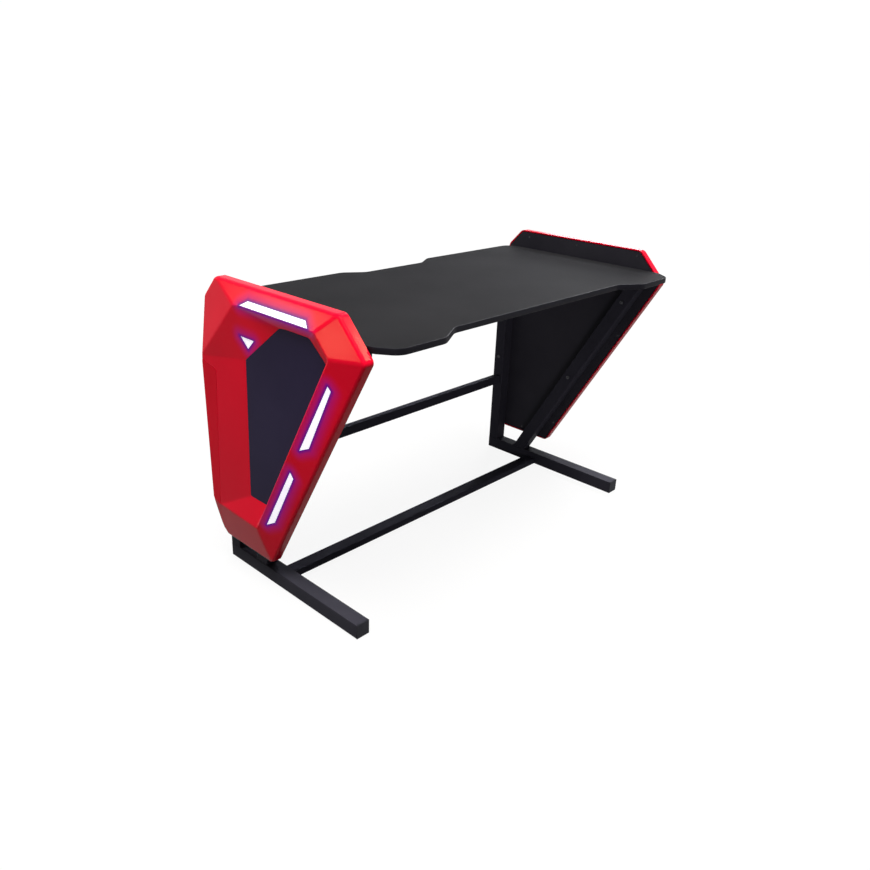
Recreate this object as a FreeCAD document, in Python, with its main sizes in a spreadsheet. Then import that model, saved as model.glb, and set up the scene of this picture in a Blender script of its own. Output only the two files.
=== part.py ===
import FreeCAD, Part
import math
import os
import re
import Sketcher
from FreeCAD import Vector

# Gaming desk: a black worktop between two faceted, lit side panels, on a welded black tube frame.
# +X is the user's right, +Y the back and +Z up. The origin is on the floor, under the middle.

SIZES = {
    # Whole desk
    "desk_height": 753,
    "desk_depth": 626,
    "panel_span": 1170,
    "cut_overrun": 1,
    # Worktop board and the band round its edge
    "worktop_thickness": 15,
    "worktop_end_gap": 2,
    "edge_band": 2,
    "worktop_corner_radius": 40,
    "front_recess_depth": 42,
    "front_recess_inner": 678,
    "front_recess_outer": 818,
    "cable_notch_depth": 36,
    "cable_notch_inner": 224,
    "cable_notch_outer": 342,
    "front_corner_width": 36,
    "front_corner_depth": 49,
    # Square tube frame
    "tube": 40,
    "tube_wall": 2,
    "foot_length": 532,
    "diagonal_inset": 35,
    "end_cap": 3,
    "end_cap_plug": 12,
    "end_cap_gap": 0.1,
    # Rails between the two side frames
    "floor_stretcher_depth": 40,
    "floor_stretcher_height": 20,
    "floor_stretcher_gap": 14,
    "rear_stretcher_depth": 20,
    "rear_stretcher_height": 30,
    "rear_stretcher_level": 259,
    "cross_rail_depth": 40,
    "cross_rail_height": 20,
    "cross_rail_inset": 120,
    "rail_wall": 1.5,
    "rail_stub": 30,
    "rail_stub_gap": 0.15,
    # Levelling glides
    "glide_height": 3,
    "glide_diameter": 30,
    "glide_stem": 8,
    "glide_stem_length": 18,
    "glide_inset": 45,
    "glide_nut": 18,
    "glide_nut_height": 10,
    "glide_gap": 0.1,
    # Worktop screws
    "bolt_gap": 0.2,
    "worktop_screw": 4.5,
    "worktop_screw_bite": 10,
    "worktop_screw_head": 9,
    "worktop_screw_head_height": 3,
    # Side panel: moulded cover, inlay, board and trim
    "panel_ground": 90,
    "panel_rise": 57,
    "panel_setback": 37,
    "panel_thickness": 46,
    "rim_thickness": 25,
    "rim_corner": 10,
    "cover_wall": 3,
    "inlay_level": 32,
    "inlay_thickness": 2,
    "inlay_gap": 0.2,
    "board_thickness": 12,
    "board_gap": 0.3,
    "trim_thickness": 1.5,
    "trim_gap": 0.4,
    "trim_lip": 3,
    "trim_return": 34,
    # Lights behind their windows
    "light_depth": 7,
    "light_recess": 0.4,
    "light_gap": 0.15,
    "led_board": 1.6,
    "led_margin": 2,
    # Screws and bolts of the panel
    "boss": 9,
    "cover_screw": 3.5,
    "cover_screw_length": 26,
    "cover_screw_head": 7,
    "cover_screw_head_height": 2,
    "panel_bolt": 6,
    "panel_bolt_head": 12,
    "panel_bolt_head_height": 3.5,
    "panel_insert": 10,
    "panel_insert_depth": 10,
    # Light controller and power inlet
    "controller_length": 90,
    "controller_width": 46,
    "controller_height": 11,
    "inlet_body": 9,
    "inlet_length": 16,
    "inlet_flange": 12,
    "inlet_flange_height": 1.5,
    "inlet_bore": 5.5,
}

# Outlines of a side panel, as (share of its depth from the back edge, share of its height).
RIM_SHARES = ((0.0866, 1), (0.8574, 1), (1, 0.8792), (0.3888, 0), (0.034, 0), (0, 0.035), (0, 0.9259))
RIDGE_SHARES = ((0.2598, 0.9347), (0.7623, 0.9347), (0.8409, 0.8681), (0.333, 0.1375),
                (0.0468, 0.1411), (0, 0.155), (0, 0.717))
TRIM_SHARES = ((0, 0.704), (0.0925, 0.6838), (0.0468, 0.1411), (0, 0.155))
INLAY_SHARES = ((0.534, 0.905), (0.7086, 0.905), (0.8023, 0.8423), (0.3953, 0.241),
                (0.27, 0.241), (0.2947, 0.7533))
LIGHT_SHARES = {
    "top_light": ((0.3017, 0.9395), (0.3482, 0.9596), (0.7042, 0.9596), (0.7268, 0.9395)),
    "front_upper_light": ((0.8243, 0.7831), (0.8368, 0.7676), (0.6949, 0.5431), (0.6441, 0.5242)),
    "front_lower_light": ((0.58, 0.4306), (0.5919, 0.4067), (0.4486, 0.1938), (0.3983, 0.171)),
    "triangle_light": ((0.2822, 0.8346), (0.3649, 0.8307), (0.3217, 0.7953)),
}
COVER_SCREW_SHARES = ((0.14, 0.972), (0.4652, 0.974), (0.838, 0.974), (0.787, 0.6143), (0.4311, 0.1042),
                      (0.2, 0.024), (0.0265, 0.3), (0.0265, 0.68))
CONTROLLER_SHARES = (0.45, 0.55)
INLET_SHARE = 0.29
PANEL_BOLT_LEVEL_SHARES = (0.377, 0.78)
WORKTOP_SCREW_SHARES = (0.12, 0.5, 0.88)

# Flats round a corner of the panel's rim, and round a small round piece that repeats
CORNER_STEPS = 3
ROUND_FLATS = 12

SIDES = {"left": -1, "right": 1}

doc = FreeCAD.newDocument("gaming_desk")
sheet = doc.addObject("Spreadsheet::Sheet", "sizes")
for row, (alias, number) in enumerate(SIZES.items(), start=1):
    sheet.set(f"A{row}", alias)
    sheet.set(f"B{row}", str(number))
    sheet.setAlias(f"B{row}", alias)
doc.recompute()

subparts = []


def linked(text):
    """A formula in plain size names, written with the sheet's name before each of them."""
    return re.sub(r"[a-z]\w*", lambda word: "sizes." + word.group(0), text)


def size(text):
    """The present value of a formula in size names."""
    return float(sheet.evalExpression(linked(text)))


def new_body(label):
    body = doc.addObject("PartDesign::Body", label)
    body.Label = label
    subparts.append(body)
    return body


def new_solid(label, shape):
    """A sub-part whose form needs its own construction, or a group of like solids."""
    feature = doc.addObject("Part::Feature", label)
    feature.Label = label
    feature.Shape = shape
    subparts.append(feature)
    return feature


def fix_point(sketch, geometry, position, place):
    """Hold one point of a sketch at a pair of formulas."""
    for direction, formula in zip(("DistanceX", "DistanceY"), place):
        index = sketch.addConstraint(
            Sketcher.Constraint(direction, -1, 1, geometry, position, size(formula)))
        sketch.setExpression(f"Constraints[{index}]", linked(formula))


def new_sketch(body, role, level, outlines):
    """A sketch parallel to one of the body's origin planes, of closed outlines with straight sides."""
    plane = next(item for item in body.Origin.OriginFeatures if item.Role == role)
    sketch = body.newObject("Sketcher::SketchObject", body.Label + "_sketch")
    sketch.AttachmentSupport = [(plane, "")]
    sketch.MapMode = "FlatFace"
    sketch.setExpression("AttachmentOffset.Base.z", linked(level))
    for corners in outlines:
        first = sketch.GeometryCount
        places = [Vector(size(across), size(along), 0) for across, along in corners]
        for start, end in zip(places, places[1:] + places[:1]):
            sketch.addGeometry(Part.LineSegment(start, end))
        for step, corner in enumerate(corners):
            following = first + (step + 1) % len(corners)
            sketch.addConstraint(Sketcher.Constraint("Coincident", first + step, 2, following, 1))
            fix_point(sketch, first + step, 1, corner)
    return sketch


def pad(body, sketch, length, reverse=False):
    feature = body.newObject("PartDesign::Pad", body.Label + "_pad")
    feature.Profile = sketch
    feature.setExpression("Length", linked(length))
    feature.Reversed = reverse
    return feature


def pocket(body, sketch, length, reverse=False):
    feature = body.newObject("PartDesign::Pocket", body.Label + "_pocket")
    feature.Profile = sketch
    feature.setExpression("Length", linked(length))
    feature.Reversed = reverse
    return feature


def flats_round(centre, diameter):
    """Corner formulas of a small round hole, made of flats."""
    turns = [2 * math.pi * step / ROUND_FLATS for step in range(ROUND_FLATS)]
    return [(f"{centre[0]} + ({diameter}) / 2 * ({math.cos(turn):.6f})",
             f"{centre[1]} + ({diameter}) / 2 * ({math.sin(turn):.6f})") for turn in turns]


def drill(body, role, level, depth, centres, diameter, reverse=False):
    """Small holes from a level of an origin plane, against its normal unless reversed."""
    sketch = new_sketch(body, role, level, [flats_round(centre, diameter) for centre in centres])
    return pocket(body, sketch, depth, reverse)


def rectangle(across, along, width, height):
    """Corner formulas of a rectangle round a centre."""
    signs = ((-1, -1), (1, -1), (1, 1), (-1, 1))
    return [(f"{across} + {a} * ({width}) / 2", f"{along} + {b} * ({height}) / 2") for a, b in signs]


def tube_section(across, along, width, height, wall):
    return [rectangle(across, along, width, height),
            rectangle(across, along, f"({width}) - 2 * {wall}", f"({height}) - 2 * {wall}")]


def round_upright_edges(body, radius, corners):
    """Fillet the upright edges of a body's last feature that stand at the given plan points."""
    doc.recompute()
    base = body.Tip
    tolerance = 1e-3
    names = []
    for number, edge in enumerate(base.Shape.Edges, start=1):
        first, last = (vertex.Point for vertex in (edge.Vertexes[0], edge.Vertexes[-1]))
        upright = Vector(first.x, first.y, 0).isEqual(Vector(last.x, last.y, 0), tolerance)
        foot = Vector(first.x, first.y, 0)
        if upright and any(foot.isEqual(Vector(x, y, 0), tolerance) for x, y in corners):
            names.append(f"Edge{number}")
    feature = body.newObject("PartDesign::Fillet", body.Label + "_fillet")
    feature.Base = (base, names)
    feature.setExpression("Radius", linked(radius))
    doc.recompute()
    return feature


# Places that many pieces share, as formulas
BACK = "desk_depth / 2"
FRAME_OUT = "panel_span / 2"
FRAME_IN = "(panel_span / 2 - tube)"
FRAME_MIDDLE = "(panel_span / 2 - tube / 2)"
FOOT_TOP = "(glide_height + tube)"
WORKTOP_UNDER = "(desk_height - worktop_thickness)"
RAIL_UNDER = "(desk_height - worktop_thickness - tube)"
HALF_BOARD = "(panel_span / 2 - worktop_end_gap)"
PANEL_HEIGHT = "(desk_height + panel_rise - panel_ground)"
PANEL_DEPTH = "(desk_depth - panel_setback)"

# The diagonal tube lies along the panel's front edge, between the apex and the lower front corner.
APEX_SHARE, LOWER_CORNER_SHARE = RIM_SHARES[2], RIM_SHARES[3]
DIAGONAL_RUN = (f"({PANEL_DEPTH} * {APEX_SHARE[0] - LOWER_CORNER_SHARE[0]:.4f}"
                f" / ({PANEL_HEIGHT} * {APEX_SHARE[1] - LOWER_CORNER_SHARE[1]:.4f}))")
DIAGONAL_SLANT = f"((1 + {DIAGONAL_RUN} ^ 2) ^ 0.5)"


def diagonal_front(level):
    """Depth place of the diagonal tube's front face at a height."""
    corner = f"({BACK} - {PANEL_DEPTH} * {LOWER_CORNER_SHARE[0]})"
    rise = f"(({level}) - panel_ground)"
    return f"({corner} - {rise} * {DIAGONAL_RUN} + diagonal_inset * {DIAGONAL_SLANT})"


DIAGONAL_WIDTH = f"(tube * {DIAGONAL_SLANT})"
DIAGONAL_WALL = f"(tube_wall * {DIAGONAL_SLANT})"
RAIL_FRONT = diagonal_front(RAIL_UNDER)
STRETCHER_BACK = f"({diagonal_front(FOOT_TOP)} - floor_stretcher_gap)"

# Rails across the desk: (centre along the depth, centre height, depth, height)
RAILS = {
    "floor_stretcher": (f"({STRETCHER_BACK} - floor_stretcher_depth / 2)",
                        "(glide_height + floor_stretcher_height / 2)",
                        "floor_stretcher_depth", "floor_stretcher_height"),
    "rear_stretcher": (f"({BACK} - tube / 2)",
                       "(rear_stretcher_level + glide_height + rear_stretcher_height / 2)",
                       "rear_stretcher_depth", "rear_stretcher_height"),
    "front_cross_rail": (f"({RAIL_FRONT} + cross_rail_inset)", f"({WORKTOP_UNDER} - cross_rail_height / 2)",
                         "cross_rail_depth", "cross_rail_height"),
    "rear_cross_rail": (f"({BACK} - cross_rail_inset)", f"({WORKTOP_UNDER} - cross_rail_height / 2)",
                        "cross_rail_depth", "cross_rail_height"),
}


def panel_bolt_centres(tube):
    """Places of the bolts that hold a side panel on one of the two tubes behind it."""
    levels = [f"(panel_ground + {PANEL_HEIGHT} * {share})" for share in PANEL_BOLT_LEVEL_SHARES]
    if tube == "post_tube":
        return [(f"({BACK} - tube / 2)", level) for level in levels]
    return [(f"({diagonal_front(level)} + {DIAGONAL_WIDTH} / 2)", level) for level in levels]


def worktop_outline():
    """Plan corners of the board: cable notch behind, arm recess in front, cut front corners.

    They lie inside the worktop's outline by the edge band.
    """
    back = f"({BACK} - edge_band)"
    front = f"(-{BACK} + edge_band)"
    half = [
        ("cable_notch_inner / 2 + edge_band", f"{back} - cable_notch_depth"),
        ("cable_notch_outer / 2 + edge_band", back),
        (f"{HALF_BOARD} - edge_band", back),
        (f"{HALF_BOARD} - edge_band", f"{front} + front_corner_depth"),
        (f"{HALF_BOARD} - edge_band - front_corner_width", front),
        ("front_recess_outer / 2 + edge_band", front),
        ("front_recess_inner / 2 + edge_band", f"{front} + front_recess_depth"),
    ]
    mirrored = [(f"-({across})", along) for across, along in reversed(half)]
    return half + mirrored


def make_worktop():
    """The board, with blind holes under it for the screws in the top rails, and the band round its edge."""
    board = new_body("desktop")
    outline = worktop_outline()
    pad(board, new_sketch(board, "XY_Plane", WORKTOP_UNDER, [outline]), "worktop_thickness")
    corners = [(size(across), size(along)) for across, along in outline]
    rounded_board = round_upright_edges(board, "worktop_corner_radius", corners)
    board_top = max(rounded_board.Shape.Faces, key=lambda face: face.CenterOfMass.z)
    band_top = board_top.makeOffset2D(size("edge_band"), fill=True)
    new_solid("desktop_edge_band", band_top.extrude(Vector(0, 0, -size("worktop_thickness"))))
    centres = [(f"{side} * {FRAME_MIDDLE}", place) for side in SIDES.values() for place in worktop_screw_places()]
    drill(board, "XY_Plane", WORKTOP_UNDER, "worktop_screw_bite + cut_overrun", centres,
          "worktop_screw + bolt_gap", reverse=True)


def worktop_screw_places():
    return [f"({RAIL_FRONT} + ({BACK} - {RAIL_FRONT}) * {share})" for share in WORKTOP_SCREW_SHARES]


def make_side_frame(name, side):
    """One welded side: foot, post, diagonal and top rail, each a square tube with its bolt holes."""
    middle = f"{side} * {FRAME_MIDDLE}"
    flip = side < 0
    outer_wall = f"{side} * ({FRAME_OUT} + cut_overrun)"
    one_wall = "tube_wall + 2 * cut_overrun"
    both_walls = "tube + 2 * cut_overrun"

    foot = new_body(f"{name}_foot_tube")
    section = tube_section(middle, "(glide_height + tube / 2)", "tube", "tube", "tube_wall")
    pad(foot, new_sketch(foot, "XZ_Plane", f"-({BACK} - end_cap)", section), "foot_length - 2 * end_cap")
    drill(foot, "XY_Plane", "glide_height + tube_wall + cut_overrun", one_wall,
          [(middle, place) for place in glide_places().values()], "glide_stem + 2 * glide_gap")

    post = new_body(f"{name}_post_tube")
    section = tube_section(middle, f"({BACK} - tube / 2)", "tube", "tube", "tube_wall")
    pad(post, new_sketch(post, "XY_Plane", FOOT_TOP, section), f"{RAIL_UNDER} - {FOOT_TOP}")
    drill(post, "YZ_Plane", outer_wall, both_walls, panel_bolt_centres("post_tube"),
          "panel_bolt + bolt_gap", flip)

    diagonal = new_body(f"{name}_diagonal_tube")
    low, high = diagonal_front(FOOT_TOP), diagonal_front(RAIL_UNDER)
    outside = [(low, FOOT_TOP), (f"{low} + {DIAGONAL_WIDTH}", FOOT_TOP),
               (f"{high} + {DIAGONAL_WIDTH}", RAIL_UNDER), (high, RAIL_UNDER)]
    near_wall, far_wall = DIAGONAL_WALL, f"{DIAGONAL_WIDTH} - {DIAGONAL_WALL}"
    inside = [(f"{low} + {near_wall}", FOOT_TOP), (f"{low} + {far_wall}", FOOT_TOP),
              (f"{high} + {far_wall}", RAIL_UNDER), (f"{high} + {near_wall}", RAIL_UNDER)]
    pad(diagonal, new_sketch(diagonal, "YZ_Plane", f"{side} * {FRAME_IN}", [outside]), "tube", flip)
    hollow = new_sketch(diagonal, "YZ_Plane", f"{side} * ({FRAME_IN} + tube_wall)", [inside])
    pocket(diagonal, hollow, "tube - 2 * tube_wall", not flip)
    drill(diagonal, "YZ_Plane", outer_wall, both_walls, panel_bolt_centres("diagonal_tube"),
          "panel_bolt + bolt_gap", flip)

    rail = new_body(f"{name}_top_rail")
    section = tube_section(middle, f"({WORKTOP_UNDER} - tube / 2)", "tube", "tube", "tube_wall")
    pad(rail, new_sketch(rail, "XZ_Plane", f"-({BACK} - end_cap)", section), f"{BACK} - end_cap - {RAIL_FRONT}")
    drill(rail, "XY_Plane", f"{WORKTOP_UNDER} + cut_overrun", both_walls,
          [(middle, place) for place in worktop_screw_places()], "worktop_screw + bolt_gap")


def make_rails():
    """Rectangular tubes across the desk, pushed over stubs that are welded to the side frames."""
    stubs = []
    for label, (along, level, depth, height) in RAILS.items():
        rail = new_body(label)
        section = tube_section(along, level, depth, height, "rail_wall")
        pad(rail, new_sketch(rail, "YZ_Plane", f"-{FRAME_IN}", section), f"2 * {FRAME_IN}")
        stub_depth = size(f"{depth} - 2 * rail_wall - 2 * rail_stub_gap")
        stub_height = size(f"{height} - 2 * rail_wall - 2 * rail_stub_gap")
        for side in SIDES.values():
            left = min(side * size(FRAME_IN), side * size(f"{FRAME_IN} - rail_stub"))
            corner = Vector(left, size(along) - stub_depth / 2, size(level) - stub_height / 2)
            stubs.append(Part.makeBox(size("rail_stub"), stub_depth, stub_height, corner))
    new_solid("rail_stubs", Part.makeCompound(stubs))


def bar(base, axis, length, diameter, end_diameter=None, flats=ROUND_FLATS):
    """A small round piece made of flats, straight or tapered, from a base point along an axis."""
    across = axis.cross(Vector(1, 0, 0) if axis.x == 0 else Vector(0, 0, 1)).normalize()
    upward = axis.cross(across)
    ends = []
    turns = [2 * math.pi * step / flats for step in range(flats)]
    spokes = [across * math.cos(turn) + upward * math.sin(turn) for turn in turns]
    for middle, width in ((base, diameter), (base + axis * length, end_diameter or diameter)):
        ends.append([middle + spoke * (width / 2) for spoke in spokes])
    low, high = ends
    faces = [flat_face(low), flat_face(high)]
    for step in range(flats):
        faces += flat_strip(low[step - 1], low[step], high[step], high[step - 1])
    return solid_of(faces)


def fastener(seat, direction, shank, length, head, head_height):
    """A bolt or screw whose head sits on a face and whose shank goes along a direction."""
    body = bar(seat, direction, size(length), size(shank))
    return body.fuse(bar(seat, -direction, size(head_height), size(head))).removeSplitter()


def glide_places():
    """Depth places of the two glides under a foot."""
    front_end = f"({BACK} - foot_length)"
    return {"rear": f"({BACK} - glide_inset)", "front": f"({front_end} + glide_inset)"}


def make_glides():
    """Screw-in levelling glides, each in a nut welded inside the foot tube."""
    up = Vector(0, 0, 1)
    nuts = []
    for name, side in SIDES.items():
        for end, place in glide_places().items():
            label = f"{end}_{name}_glide"
            base = (f"{side} * {FRAME_MIDDLE}", place)
            foot = Vector(size(base[0]), size(base[1]), 0)
            tread = size("glide_diameter - glide_height")
            disc = bar(foot, up, size("glide_height"), tread, size("glide_diameter"), 2 * ROUND_FLATS)
            stem = bar(foot, up, size("glide_height + glide_stem_length"), size("glide_stem"))
            new_solid(label, disc.fuse(stem).removeSplitter())
            floor = Vector(size(base[0]), size(base[1]), size("glide_height + tube_wall"))
            nut = bar(floor, up, size("glide_nut_height"), size("glide_nut"), flats=6)
            nuts.append(nut.cut(bar(floor, up, size("glide_nut_height"), size("glide_stem + 2 * glide_gap"))))
    new_solid("glide_nuts", Part.makeCompound(nuts))


def make_end_caps():
    """Plastic caps that plug both ends of each foot and of each top rail."""
    tubes = {
        "foot_end_caps": (f"({BACK} - foot_length)", "(glide_height + tube / 2)"),
        "top_rail_end_caps": (f"({RAIL_FRONT} - end_cap)", f"({WORKTOP_UNDER} - tube / 2)"),
    }
    plug_side = size("tube - 2 * tube_wall - 2 * end_cap_gap")
    for label, (front_end, level) in tubes.items():
        caps = []
        for side in SIDES.values():
            for place, inward in ((BACK, -1), (front_end, 1)):
                middle = Vector(side * size(FRAME_MIDDLE), size(place), size(level))
                plate = centred_box(middle, size("tube"), size("end_cap"), size("tube"), inward)
                seat = middle + Vector(0, inward * size("end_cap"), 0)
                plug = centred_box(seat, plug_side, size("end_cap_plug"), plug_side, inward)
                caps.append(plate.fuse(plug).removeSplitter())
        new_solid(label, Part.makeCompound(caps))


def centred_box(middle, width, depth, height, inward):
    """A box whose one face is centred on a point and which goes forward or back from there."""
    corner = middle + Vector(-width / 2, min(0, inward * depth), -height / 2)
    return Part.makeBox(width, depth, height, corner)


def make_worktop_screws():
    """Long screws up through the top rails into the board."""
    screws = []
    for side in SIDES.values():
        for place in worktop_screw_places():
            seat = Vector(side * size(FRAME_MIDDLE), size(place), size(RAIL_UNDER))
            screws.append(fastener(seat, Vector(0, 0, 1), "worktop_screw", "tube + worktop_screw_bite",
                                   "worktop_screw_head", "worktop_screw_head_height"))
    new_solid("desktop_screws", Part.makeCompound(screws))


# The side panel is worked out for the right side and mirrored for the left.

def panel_point(share, thickness):
    """A point of the panel from its depth and height shares and its distance from the inner face."""
    return Vector(size(FRAME_OUT) + thickness,
                  size(BACK) - size(PANEL_DEPTH) * share[0],
                  size("panel_ground") + size(PANEL_HEIGHT) * share[1])


def outline_at(shares, thickness):
    return [panel_point(share, thickness) for share in shares]


def polygon_normal(points):
    total = Vector(0, 0, 0)
    for point, following in zip(points, points[1:] + points[:1]):
        total = total + (point - points[0]).cross(following - points[0])
    return total.normalize()


def grown(points, distance):
    """A plane polygon with every side moved outward by a distance."""
    normal = polygon_normal(points)
    sides = [(following - point).normalize().cross(normal)
             for point, following in zip(points, points[1:] + points[:1])]
    moved = []
    for point, before, after in zip(points, sides[-1:] + sides[:-1], sides):
        moved.append(point + (before + after) * (distance / (1 + before.dot(after))))
    return moved


def rounded(points, inset):
    """An outline with each corner turned in a few short flats along an arc, kept parallel when inset."""
    largest_share = 0.45
    corners = []
    for before, corner, after in zip(points[-1:] + points[:-1], points, points[1:] + points[:1]):
        back, ahead = before - corner, after - corner
        half_angle = back.getAngle(ahead) / 2
        reach = size("rim_corner") - inset / math.tan(half_angle)
        reach = min(reach, largest_share * min(back.Length, ahead.Length))
        back.normalize()
        ahead.normalize()
        middle = corner + (back + ahead).normalize() * (reach / math.cos(half_angle))
        start, end = corner + back * reach - middle, corner + ahead * reach - middle
        sweep = math.pi - 2 * half_angle
        for step in range(CORNER_STEPS + 1):
            turned = sweep * step / CORNER_STEPS
            spoke = start * math.sin(sweep - turned) + end * math.sin(turned)
            corners.append(middle + spoke * (1 / math.sin(sweep)))
    return corners


def flat_face(points):
    return Part.Face(Part.makePolygon(points + points[:1]))


def slab(points, travel):
    return flat_face(points).extrude(travel)


def flat_strip(low, next_low, next_high, high):
    """The flat faces between two sides: one where the four points lie in a plane, else two."""
    tolerance = 1e-8
    lift = (next_low - low).cross(high - low).normalize().dot(next_high - low)
    if abs(lift) < tolerance:
        return [flat_face([low, next_low, next_high, high])]
    return [flat_face([low, next_low, next_high]), flat_face([low, next_high, high])]


def solid_of(faces):
    solid = Part.Solid(Part.Shell(faces))
    if solid.Volume < 0:
        solid.reverse()
    return solid


def plane_through(first, second, third):
    """Outward normal of a facet of the panel, and the X of its plane over a depth place and a height."""
    normal = (second - first).cross(third - first).normalize()
    if normal.x < 0:
        normal = normal * -1

    def height_over(y, z):
        return first.x - (normal.y * (y - first.y) + normal.z * (z - first.z)) / normal.x

    return normal, height_over


def cover_corners():
    """Corners of the cover's rim, of its ridge and of the floor of its pit."""
    rim = outline_at(RIM_SHARES, size("rim_thickness"))
    ridge = outline_at(RIDGE_SHARES, size("panel_thickness"))
    floor = outline_at(INLAY_SHARES, size("inlay_level"))
    height_over = plane_through(ridge[6], floor[4], floor[5])[1]
    for corner in ridge[4:6]:
        corner.x = height_over(corner.y, corner.z)
    return rim, ridge, floor


def panel_block(rim, ridge, floor, start):
    """A block with an upright skirt to the rim, bevels up to the ridge and slopes down to the pit's floor."""
    faces = [flat_face(rim), flat_face(floor)]
    steps = CORNER_STEPS
    for corner, top in enumerate(ridge):
        first = corner * (steps + 1)
        for step in range(first, first + steps):
            faces.append(flat_face([rim[step], rim[step + 1], top]))
        faces += flat_strip(rim[first - 1], rim[first], top, ridge[corner - 1])
    for near in range(4):
        far = near + 1
        faces += flat_strip(floor[near], floor[far], ridge[far], ridge[near])
    faces.append(flat_face([floor[4], ridge[5], ridge[4]]))
    faces += flat_strip(floor[4], floor[5], ridge[6], ridge[5])
    faces += flat_strip(ridge[0], floor[0], floor[5], ridge[6])
    skirt = slab(rim, Vector(start - rim[0].x, 0, 0))
    return skirt.fuse(solid_of(faces)).removeSplitter()


def behind(point, normals):
    """The point moved in until it lies a wall's thickness behind the facets that meet there."""
    cells = []
    for row in range(3):
        cells += [sum(normal[row] * normal[column] for normal in normals) for column in range(3)] + [0]
    gather = FreeCAD.Matrix(*cells, 0, 0, 0, 1)
    total = Vector(0, 0, 0)
    for normal in normals:
        total = total + normal
    return point - gather.inverse().multVec(total) * size("cover_wall")


def outer_block():
    rim, ridge, floor = cover_corners()
    return panel_block(rounded(rim, 0), ridge, floor, size(FRAME_OUT))


def hollow_block():
    """The room inside the cover: its facets lie a wall's thickness behind the outer ones."""
    wall = size("cover_wall")
    rim, ridge, floor = cover_corners()
    bevels = [plane_through(rim[i], rim[i - 6], ridge[i])[0] for i in range(7)]
    bevels[5] = Vector(0, 1, 0)
    slopes = [plane_through(floor[i], floor[i + 1], ridge[i])[0] for i in range(4)]
    slopes.append(plane_through(floor[4], floor[5], ridge[6])[0])
    slopes.append(plane_through(floor[0], floor[5], ridge[0])[0])
    sides = (5, 0, 1, 2, 3, 4, 4)
    others = (0, 1, 2, 3, 4, 4, 5)
    inner_ridge = [behind(ridge[i], [bevels[i - 1], bevels[i], slopes[sides[i]], slopes[others[i]]])
                   for i in range(7)]
    inner_floor = [behind(floor[i], [Vector(1, 0, 0), slopes[i - 1], slopes[i]]) for i in range(6)]
    inner_rim = rounded(grown(outline_at(RIM_SHARES, size("rim_thickness") - wall), -wall), wall)
    room = panel_block(inner_rim, inner_ridge, inner_floor, size(FRAME_OUT) - size("cut_overrun"))
    return room.cut(slab(inner_floor, Vector(-size("inlay_thickness"), 0, 0)))


def light_frames():
    """For each light: its corners on the facet that carries it, and that facet's normal."""
    rim, ridge, floor = cover_corners()
    facets = {
        "top_light": plane_through(rim[0], rim[1], ridge[0]),
        "front_upper_light": plane_through(rim[2], rim[3], ridge[2]),
        "front_lower_light": plane_through(rim[2], rim[3], ridge[2]),
        "triangle_light": plane_through(ridge[0], floor[0], floor[5]),
    }
    frames = {}
    for label, (normal, height_over) in facets.items():
        flat = outline_at(LIGHT_SHARES[label], 0)
        frames[label] = ([Vector(height_over(point.y, point.z), point.y, point.z) for point in flat], normal)
    return frames


def facet_prism(corners, normal, grow, start, end):
    """A prism on a facet, between two depths below it."""
    points = [point - normal * start for point in grown(corners, grow)]
    return slab(points, normal * (start - end))


def trim_solid(gap):
    """The strip along the back edge: a leg on the back slope and a return on the back, past the skin outside."""
    overrun = size("cut_overrun")
    ridge, floor = cover_corners()[1:]
    normal, height_over = plane_through(ridge[6], floor[4], floor[5])
    lip = Vector(0, 0, size("trim_lip"))
    corners = outline_at(TRIM_SHARES, 0)
    leg = grown([corner - lip for corner in corners[:2]] + [corner + lip for corner in corners[2:]], -gap)
    for corner in (leg[0], leg[3]):
        corner.y = size(BACK) + overrun
    for corner in leg:
        corner.x = height_over(corner.y, corner.z)
    outer = facet_prism(leg, normal, 0, -overrun, size("trim_thickness"))
    low, high = leg[3].z, leg[0].z
    reach = size("trim_return") - gap
    depth = size("trim_thickness") - gap
    corner = Vector(size(f"{FRAME_OUT} + panel_thickness") - reach, size(BACK) - depth, low)
    back = Part.makeBox(reach + overrun, depth + overrun, high - low, corner)
    return outer.fuse(back).removeSplitter()


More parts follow.
